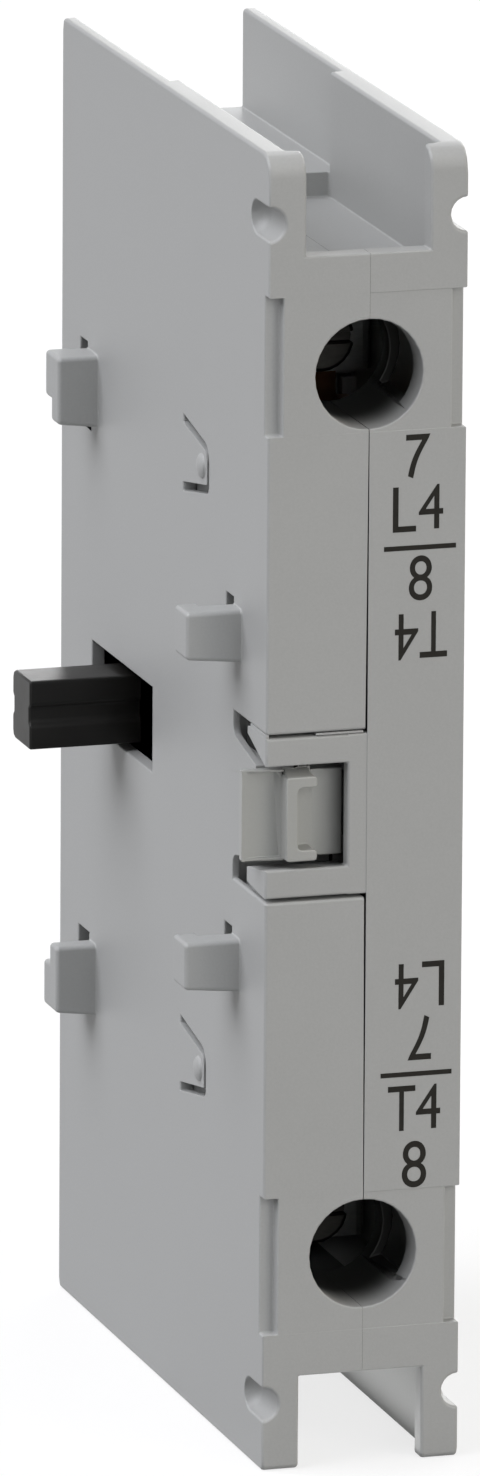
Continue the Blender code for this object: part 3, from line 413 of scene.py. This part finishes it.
def wedge(low, high, rise=0, lean=0):
    # a box between two corners in mm; a rise spreads its rear face up and down, and a lean
    # brings the right end of its front face forward
    bpy.ops.object.select_all(action="DESELECT")
    bpy.ops.mesh.primitive_cube_add(size=1)
    tool = bpy.context.object
    for vert in tool.data.vertices:
        share = [c + 0.5 for c in vert.co]
        place = [a + (b - a) * part for a, b, part in zip(low, high, share)]
        if share[1] > 0.5:
            place[2] += rise if share[2] > 0.5 else -rise
        elif share[0] > 0.5:
            place[1] -= lean
        vert.co = point(*place)
    return tool


def carve(piece, tool, operation):
    pickOnly(piece)
    change = piece.modifiers.new(operation.lower(), "BOOLEAN")
    change.operation = operation
    change.object = tool
    bpy.ops.object.modifier_apply(modifier=change.name)
    bpy.data.objects.remove(tool)


def near(value, target):
    return abs(value - target) < matching["flat"]


def middleOf(edge):
    return (edge.verts[0].co + edge.verts[1].co) / 2 / mm


def softCopy(
    nodeName, pieceName, body, material, look, choose=None, shift=None, tools=(),
):
    # a copy of the CAD node, reshaped by shift() and the tools, with its sharp edges rounded;
    # a tool is an operation, the lowest and highest corner of its box, its rise and its lean
    piece = copyNode(nodeName, pieceName)
    mesh = piece.data
    mergeSkin(piece, look["weld"])
    if shift:
        for vert in mesh.vertices:
            vert.co = point(*shift(*(vert.co / mm)))
    for operation, low, high, rise, lean in tools:
        carve(piece, wedge(low, high, rise, lean), operation)
    if tools:
        mergeSkin(piece, look["toolWeld"])
    weighEdges(mesh, look, choose or (lambda edge: look["radius"]))
    rounding = piece.modifiers.new("rounded edges", "BEVEL")
    rounding.limit_method = "WEIGHT"
    rounding.width = look["radius"] * mm
    rounding.segments = look["steps"]
    rounding.use_clamp_overlap = False
    rounding.loop_slide = False
    bpy.ops.object.modifier_apply(modifier=rounding.name)
    bpy.ops.object.shade_smooth_by_angle(angle=math.radians(look["smoothAngle"]))
    flatWalls = piece.modifiers.new("flat walls", "WEIGHTED_NORMAL")
    flatWalls.keep_sharp = True
    flatWalls.weight = matching["wideFaces"]
    bpy.ops.object.modifier_apply(modifier=flatWalls.name)
    mesh.materials.clear()
    mesh.materials.append(material)
    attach(piece, body)
    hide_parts(nodeName)


shellLook = {
    "radius": 0.36, "steps": 3, "weld": 0.001, "toolWeld": 0.01, "smoothAngle": 30,
    "sharpAngle": 30, "roomShare": 0.42, "turn": 0.8,
    # an edge's rounding goes by the first of these that its middle lies in: x, y and height
    "zones": [
        (0.36, (-math.inf, -0.3), anywhere, anywhere),  # the hooks
        (0.07, (-math.inf, 1.4), (-25.5, -17.5), (-1, 7.2)),  # the recess behind the latch
        (0.3, anywhere, anywhere, (49.1, math.inf)),  # the rims of the wire barriers
        (0.05, (-math.inf, 0.1), (-21, -5), (20, 38)),  # the slots of the spring tongues
        (0.27, (-math.inf, 0.05), (-math.inf, -27.9), anywhere),  # the front left corner
        (0.27, (-math.inf, 7.9), (-math.inf, -20), (-1, 7.3)),  # the frame round the latch
    ],
    "common": 0.15, "splitEdge": 0.02,
    # the split line in the solids, and in the real front
    "splitX": 8.75, "cadGap": 0.3,
    "seamX": 8.9, "seamWide": 0.3, "seamNarrow": 0.06, "wideTo": 7.3, "narrowFrom": 34,
    "seamShut": 0.015, "shutFrom": 40,
    # the real screw holes, lower rim and lower shoulders lie a little lower than the solids'
    "holeZ": 38.3, "holeRadius": 4.65, "holeShift": (0.15, -0.3), "holeGrow": 1.02,
    "seamReach": 0.2,
    "heights": {-48.4: -49.0, -45.0: -45.25, -33.0: -33.2},
    # how far forward the collars stand in the solids, and left and right of the real split
    "collarCad": -27.85, "collar": (-27.985, -27.94),
}
# the recess in the side wall runs behind the latch's arms and closes up against the tongue
recess = {
    "near": -22.4, "far": -18.45, "floor": 4.55, "top": 7.2, "drop": 0.5, "wall": 1.3,
    "tools": [
        ("UNION", (0, -25.05, -4.05), (1.25, -22.2, 4.05), 0.53, 0),
        ("DIFFERENCE", (0.65, -25, 4.3), (1.35, -17.9, 8), 0, 0),
        ("DIFFERENCE", (0.65, -25, -8), (1.35, -17.9, -4.3), 0, 0),
    ],
}


def shellEdge(edge):
    # roundest on the hooks, wide on the rims of the wire barriers, hair-thin along the seam
    middle = middleOf(edge)
    if abs(middle.x - shellLook["seamX"]) < shellLook["cadGap"]:
        return shellLook["splitEdge"]
    place = (middle.x, middle.y, abs(middle.z))
    for width, *ranges in shellLook["zones"]:
        if all(low < value < high for value, (low, high) in zip(place, ranges)):
            return width
    return shellLook["common"]


def trueUp(x, y, z):
    # the collars stand almost flush with the front, and each screw hole is nudged into place
    if near(y, shellLook["collarCad"]):
        y = shellLook["collar"][0] if x < shellLook["splitX"] else shellLook["collar"][1]
    for cadHeight, height in shellLook["heights"].items():
        if near(z, cadHeight):
            z = height
    middle = math.copysign(shellLook["holeZ"], z)
    offX, offZ = x - shellLook["splitX"], z - middle
    if abs(math.hypot(offX, offZ) - shellLook["holeRadius"]) < matching["round"]:
        if abs(offX) > shellLook["seamReach"]:
            x = shellLook["splitX"] + offX * shellLook["holeGrow"] + shellLook["holeShift"][0]
        z = middle + offZ * shellLook["holeGrow"] + shellLook["holeShift"][1]
    return x, y, z


def closeSeam(x, y, z):
    # the solids keep a clear gap at the split; the real shells touch at both ends and
    # gape a little beside the latch
    off = x - shellLook["splitX"]
    if near(abs(off), shellLook["cadGap"] / 2):
        share = (abs(z) - shellLook["wideTo"]) / (shellLook["narrowFrom"] - shellLook["wideTo"])
        share = min(max(share, 0), 1)
        gap = shellLook["seamWide"] + (shellLook["seamNarrow"] - shellLook["seamWide"]) * share
        if abs(z) > shellLook["shutFrom"]:
            gap = shellLook["seamShut"]
        x = shellLook["seamX"] + math.copysign(gap / 2, off)
    return x, y, z


def shapeLeft(x, y, z):
    # the recess closes in on the tongue as it runs back
    slack = matching["flat"]
    inWall = -slack < x < recess["wall"] and recess["near"] - slack < y < recess["far"] + slack
    if inWall and recess["floor"] - slack < abs(z) < recess["top"]:
        share = (y - recess["near"]) / (recess["far"] - recess["near"])
        z -= math.copysign(recess["drop"] * share, z)
    return closeSeam(*trueUp(x, y, z))


frameLook = {
    # the post's and the arm tips' places in the solids, each with its place on the real one
    "post": (6.85, 7.25), "postTo": -26, "armTip": -22.6, "armTo": 8.5,
    "tips": {5.55: 6.3, 6.75: 7.0, -5.55: -5.3, -6.75: -6.6},
    # room behind the front wall for the end of the latch when it is pushed in
    "tools": [("DIFFERENCE", (8.6, -26.45, -4.2), (9.6, -25, 4.2), 0, 0)],
}


def shapeRight(x, y, z):
    # the upper arm tapers to a thin tip, the lower one stays thick; the post is slimmer
    if near(x, frameLook["post"][0]) and y < frameLook["postTo"]:
        x = frameLook["post"][1]
    if near(y, frameLook["armTip"]) and x < frameLook["armTo"]:
        for cadHeight, height in frameLook["tips"].items():
            if near(z, cadHeight):
                z = height
    return closeSeam(*trueUp(x, y, z))


softCopy(
    "left_shell", "moulded_left_shell", "housing",
    shellPlastic, shellLook, shellEdge, shapeLeft, recess["tools"],
)
softCopy(
    "right_shell", "moulded_right_shell", "housing",
    shellPlastic, shellLook, shellEdge, shapeRight, frameLook["tools"],
)
print("shells softened")

webLook = {
    # thin webs of the same moulding, between two corners in mm
    "webs": {
        "upper_tongue_web": ((1.27, -13, 21), (1.5, -2.5, 31.5)),
        "lower_tongue_web": ((1.27, -13.8, -31.5), (1.5, -3, -18)),
        "arm_flash": ((4.4, -27.96, 7.05), (8.6, -27.5, 7.22)),
        "arm_side_flash": ((0.02, -27.8, 6.95), (0.3, -23.4, 7.35)),
    },
    "cuts": 2, "edge": 0.03, "steps": 2, "smoothAngle": 30,
}
for name, (low, high) in webLook["webs"].items():
    web = wedge(low, high)
    web.name = name
    pickOnly(web)
    bpy.ops.object.mode_set(mode="EDIT")
    bpy.ops.mesh.select_all(action="SELECT")
    bpy.ops.mesh.subdivide(number_cuts=webLook["cuts"])
    bpy.ops.mesh.normals_make_consistent(inside=False)
    bpy.ops.object.mode_set(mode="OBJECT")
    softened = web.modifiers.new("rounded edges", "BEVEL")
    softened.width = webLook["edge"] * mm
    softened.segments = webLook["steps"]
    bpy.ops.object.modifier_apply(modifier=softened.name)
    bpy.ops.object.shade_smooth_by_angle(angle=math.radians(webLook["smoothAngle"]))
    web.data.materials.append(shellPlastic)
    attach(web, "housing")
print("webs and flash added")

latchLook = {
    "radius": 0.15, "steps": 3, "weld": 0.001, "toolWeld": 0.001, "smoothAngle": 35,
    "sharpAngle": 30, "roomShare": 0.42, "turn": 0.8,
    "face": -26.3, "plateDepth": 0.6, "plateFrom": 3.9, "tip": -1.6, "rib": 1.85, "ribEnd": 2.9,
    # where the plate ends in the solids, and under the real post
    "faceEnd": (6.45, 7.45),
    # how deep the plate dips on each side of the grip, and how late the dip comes
    "leftDip": 0.45, "leftCurve": 2.2, "rightDip": 0.5, "rightCurve": 2,
    "tools": [
        # the thin tongue and its two lips, the notch beside the grip, the grip's sloping top
        ("DIFFERENCE", (-2.2, -25.5, -4.6), (1.3, -22, 4.6), 0, 0),
        ("UNION", (-1.6, -26.2, 3.75), (2, -25.7, 3.95), 0, 0.5),
        ("UNION", (-1.6, -26.2, -3.95), (2, -25.7, -3.75), 0, 0.5),
        ("DIFFERENCE", (4.6, -27, 3.6), (8.5, -22, 4.6), 0, 0),
        ("UNION", (2.1, -27.65, 3), (4.3, -26.1, 3.45), 0.48, 0),
    ],
}


def shapeLatch(x, y, z):
    # the plate dips towards the grip on one side and towards the post on the other
    if near(x, latchLook["faceEnd"][0]):
        x = latchLook["faceEnd"][1]
    slack = matching["flat"]
    onPlate = latchLook["face"] - slack < y < latchLook["face"] + latchLook["plateDepth"]
    if onPlate and abs(z) > latchLook["plateFrom"]:
        if x < latchLook["rib"] + slack:
            share = (x - latchLook["tip"]) / (latchLook["rib"] - latchLook["tip"])
            y += latchLook["leftDip"] * share ** latchLook["leftCurve"]
        elif x > latchLook["ribEnd"] - slack:
            share = (x - latchLook["ribEnd"]) / (latchLook["faceEnd"][1] - latchLook["ribEnd"])
            y += latchLook["rightDip"] * share ** latchLook["rightCurve"]
    return x, y, z


softCopy(
    "locking_latch", "moulded_latch", "latch",
    latchPlastic, latchLook, shift=shapeLatch, tools=latchLook["tools"],
)

carrierLook = {
    "radius": 0.34, "steps": 4, "weld": 0.001, "smoothAngle": 35,
    "sharpAngle": 30, "roomShare": 0.42, "turn": 0.7,
    "barEndX": -8.7, "barEnd": 0.2, "barRoundZ": 2.9,
}


def carrierEdge(edge):
    # the bar's long corners are round already, so only its end and its grooves are eased
    middle = middleOf(edge)
    if middle.x < carrierLook["barEndX"]:
        return carrierLook["barEnd"]
    if middle.x < 0 and abs(middle.z) > carrierLook["barRoundZ"]:
        return 0
    return carrierLook["radius"]


softCopy(
    "contact_carrier", "moulded_carrier", "carrier",
    carrierPlastic, carrierLook, carrierEdge,
)

screwLook = {
    "radius": 0.12, "steps": 2, "weld": 0.001, "smoothAngle": 35,
    "sharpAngle": 40, "roomShare": 0.4, "turn": 0.8,
}
for end in ("upper", "lower"):
    softCopy(
        end + "_terminal_screw", end + "_plated_screw", end + "_screw",
        darkScrewSteel, screwLook,
    )
print("latch, carrier and screws softened")

springLook = {
    # node: piece, body at its fixed end, joint that presses it, axis, travel in mm
    "springs": {
        "latch_spring": ("wound_latch_spring", "housing", "latch_slide", 0, 2),
        "contact_spring": ("wound_contact_spring", "carrier", "bridge_overtravel", 1, 1.2),
    },
    "weld": 0.001, "smoothAngle": 50,
}
for nodeName, (pieceName, body, joint, along, travel) in springLook["springs"].items():
    low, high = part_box(nodeName)
    coil = copyNode(nodeName, pieceName)
    mergeSkin(coil, springLook["weld"], dissolve=False)
    bpy.ops.object.shade_smooth_by_angle(angle=math.radians(springLook["smoothAngle"]))
    coil.data.materials.clear()
    coil.data.materials.append(springWire)
    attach(coil, body)
    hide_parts(nodeName)
    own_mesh(coil)
print("springs wound")

marks = {
    "faceY": -28, "ink": 0.012, "splitX": 8.75, "barHeight": 0.42, "weld": 0.0005,
    "stemCuts": 12, "stemShare": 0.88, "stemBow": 0.045,
    "words": [
        # text, low and high x from the split line, low and high z, whether it is upside down
        ("7", 3.40, 5.55, 28.8, 32.6, False), ("L", 2.29, 4.35, 24.2, 28.1, False),
        ("4", 4.58, 6.74, 24.35, 28.2, False), ("8", 3.75, 5.82, 18.2, 22.1, False),
        ("T", 4.76, 7.19, 13.2, 17.2, True), ("4", 2.55, 4.62, 13.1, 17.1, True),
        ("L", 5.20, 7.19, -17.25, -13.3, True), ("4", 2.80, 4.88, -17.35, -13.4, True),
        ("7", 3.99, 6.08, -21.9, -18.0, True), ("T", 2.26, 4.70, -28.05, -24.1, False),
        ("4", 4.76, 6.93, -28.0, -24.1, False), ("8", 3.55, 5.73, -33.1, -29.0, False),
    ],
    "bars": [(1.53, 7.90, 22.8), (1.59, 7.91, -23.1)],
}


def fitMark(piece, low, high):
    # stretches a flat mark over its place on the front, as thick as a coat of ink
    xs = [vert.co.x for vert in piece.data.vertices]
    ys = [vert.co.y for vert in piece.data.vertices]
    zs = [vert.co.z for vert in piece.data.vertices]
    for vert in piece.data.vertices:
        across = (vert.co.x - min(xs)) / (max(xs) - min(xs))
        upward = (vert.co.y - min(ys)) / (max(ys) - min(ys))
        proud = -marks["ink"] if vert.co.z > (min(zs) + max(zs)) / 2 else marks["ink"]
        x = low[0] + across * (high[0] - low[0]) + marks["splitX"]
        vert.co = point(x, marks["faceY"] + proud, low[1] + upward * (high[1] - low[1]))


def bendStem(piece):
    # the stem of this 7 bows to the left, so it is cut into short lengths first
    bpy.ops.object.mode_set(mode="EDIT")
    top = max(vert.co.y for vert in piece.data.vertices)
    for cut in range(1, marks["stemCuts"]):
        bpy.ops.mesh.select_all(action="SELECT")
        bpy.ops.mesh.bisect(plane_co=(0, top * cut / marks["stemCuts"], 0), plane_no=(0, 1, 0))
    bpy.ops.object.mode_set(mode="OBJECT")
    for vert in piece.data.vertices:
        share = vert.co.y / (top * marks["stemShare"])
        if 0 < share < 1:
            vert.co.x -= marks["stemBow"] * math.sin(math.pi * share)


printed = []
for text, lowX, highX, lowZ, highZ, upsideDown in marks["words"]:
    bpy.ops.object.select_all(action="DESELECT")
    bpy.ops.object.text_add()
    letter = bpy.context.object
    letter.data.body = text
    letter.data.extrude = marks["ink"]
    bpy.ops.object.convert(target="MESH")
    if text == "7":
        bendStem(letter)
    if upsideDown:
        letter.data.transform(Matrix.Rotation(math.pi, 4, "Z"))
    fitMark(letter, (lowX, lowZ), (highX, highZ))
    printed.append(letter)
for lowX, highX, middleZ in marks["bars"]:
    bpy.ops.object.select_all(action="DESELECT")
    bpy.ops.mesh.primitive_cube_add(size=1)
    bar = bpy.context.object
    half = marks["barHeight"] / 2
    fitMark(bar, (lowX, middleZ - half), (highX, middleZ + half))
    printed.append(bar)
bpy.ops.object.select_all(action="DESELECT")
for piece in printed:
    piece.select_set(True)
bpy.context.view_layer.objects.active = printed[0]
bpy.ops.object.join()
terminalMarks = bpy.context.object
terminalMarks.name = "terminal_marks"
bpy.ops.object.mode_set(mode="EDIT")
bpy.ops.mesh.select_all(action="SELECT")
bpy.ops.mesh.remove_doubles(threshold=marks["weld"] * mm)
bpy.ops.mesh.normals_make_consistent(inside=False)
bpy.ops.object.mode_set(mode="OBJECT")
terminalMarks.data.materials.clear()
terminalMarks.data.materials.append(printingInk)
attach(terminalMarks, "housing")
print("marks printed")

studio = {
    "floorColour": "#FFFFFF", "bounceColour": "#8C8C8C", "floorRoughness": 0.9,
    "floorSize": 6, "floorZ": -57.2, "boardShare": 0.75, "skyLevel": 0.02,
    # a small lamp under the lower wire channel, as a lit table would give
    "tableLamp": {"place": (8.75, 0, -56.9), "size": (10, 56), "level": 0.0022},
    "lamps": {
        "upper left softbox": {
            "level": 3.0, "angle": 60, "from": (-1, 0.1, 1.2), "colour": (0.954, 0.957, 1),
        },
        "front softbox": {
            "level": 1.42, "angle": 60, "from": (0.3, -1, 0.3), "colour": (0.975, 0.985, 1),
        },
        "right softbox": {
            "level": 0.74, "angle": 60, "from": (1, -0.8, 0.5), "colour": (1, 0.89, 0.72),
        },
        # this one lights only what the camera doesn't see from here
        "rear softbox": {
            "level": 2.4, "angle": 60, "from": (1, 1, 0.25), "colour": (1, 1, 1),
        },
    },
}
bpy.ops.mesh.primitive_plane_add(size=studio["floorSize"], location=point(0, 0, studio["floorZ"]))
floor = bpy.context.object
floor.name = "floor"
# a painted board: it takes the shadow, and shows white to the camera and in reflections
floorPaint, floorTree, floorShader, _ = startMaterial("White board, matt painted")
floorSeen = addNode(floorTree, "LightPath")
floorShade = addNode(
    floorTree, "Mix",
    {
        "Factor": floorSeen.outputs["Is Camera Ray"],
        6: linear(studio["bounceColour"]), 7: linear(studio["floorColour"]),
    },
    data_type="RGBA",
)
floorTree.links.new(floorShade.outputs[2], floorShader.inputs["Base Color"])
floorShader.inputs["Roughness"].default_value = studio["floorRoughness"]
board = addNode(floorTree, "Emission", {"Color": (1, 1, 1, 1), "Strength": 1})
boardSeen = addNode(
    floorTree, "Math",
    {0: floorSeen.outputs["Is Camera Ray"], 1: floorSeen.outputs["Is Glossy Ray"]},
    operation="MAXIMUM",
)
boardPart = addNode(
    floorTree, "Math", {0: boardSeen.outputs[0], 1: studio["boardShare"]}, operation="MULTIPLY",
)
boardMix = addNode(
    floorTree, "MixShader",
    {0: boardPart.outputs[0], 1: floorShader.outputs[0], 2: board.outputs[0]},
)
floorTree.links.new(boardMix.outputs[0], floorTree.nodes["Material Output"].inputs["Surface"])
floor.data.materials.append(floorPaint)

world = bpy.data.worlds.new("studio")
bpy.context.scene.world = world
world.use_nodes = True
tree = world.node_tree
sky = tree.nodes["Background"]
sky.inputs["Color"].default_value = (1, 1, 1, 1)
sky.inputs["Strength"].default_value = studio["skyLevel"]
backdrop = addNode(tree, "Background", {"Color": (1, 1, 1, 1), "Strength": 1})
rays = addNode(tree, "LightPath")
seen = addNode(
    tree, "Math", {0: rays.outputs["Is Camera Ray"], 1: rays.outputs["Is Glossy Ray"]},
    operation="MAXIMUM",
)
seenOrThrough = addNode(
    tree, "Math", {0: seen.outputs[0], 1: rays.outputs["Is Transmission Ray"]}, operation="MAXIMUM",
)
mixed = addNode(
    tree, "MixShader", {0: seenOrThrough.outputs[0], 1: sky.outputs[0], 2: backdrop.outputs[0]},
)
tree.links.new(mixed.outputs[0], tree.nodes["World Output"].inputs["Surface"])

for lampName, lamp in studio["lamps"].items():
    bpy.ops.object.light_add(type="SUN")
    sun = bpy.context.object
    sun.name = lampName
    sun.data.energy = lamp["level"]
    sun.data.angle = math.radians(lamp["angle"])
    sun.data.color = lamp["colour"]
    sun.rotation_euler = Vector(lamp["from"]).to_track_quat("Z", "Y").to_euler()

table = studio["tableLamp"]
bpy.ops.object.light_add(type="AREA", location=point(*table["place"]), rotation=(math.pi, 0, 0))
tableLamp = bpy.context.object
tableLamp.name = "table lamp"
tableLamp.data.shape = "RECTANGLE"
tableLamp.data.size = table["size"][0] * mm
tableLamp.data.size_y = table["size"][1] * mm
tableLamp.data.energy = table["level"]
tableLamp.visible_camera = False

view = {
    "place": (-417.59, -1381.47, 353.34), "turn": (76.2643, -0.3243, -16.9780),
    "lens": 421.86, "sensor": 36, "nearClip": 0.05, "farClip": 20,
}
bpy.ops.object.camera_add(location=point(*view["place"]))
camera = bpy.context.object
camera.rotation_euler = [math.radians(angle) for angle in view["turn"]]
camera.data.lens = view["lens"]
camera.data.sensor_width = view["sensor"]
camera.data.clip_start = view["nearClip"]
camera.data.clip_end = view["farClip"]
bpy.context.scene.camera = camera

bpy.context.scene.view_settings.view_transform = "Standard"
print("studio set")
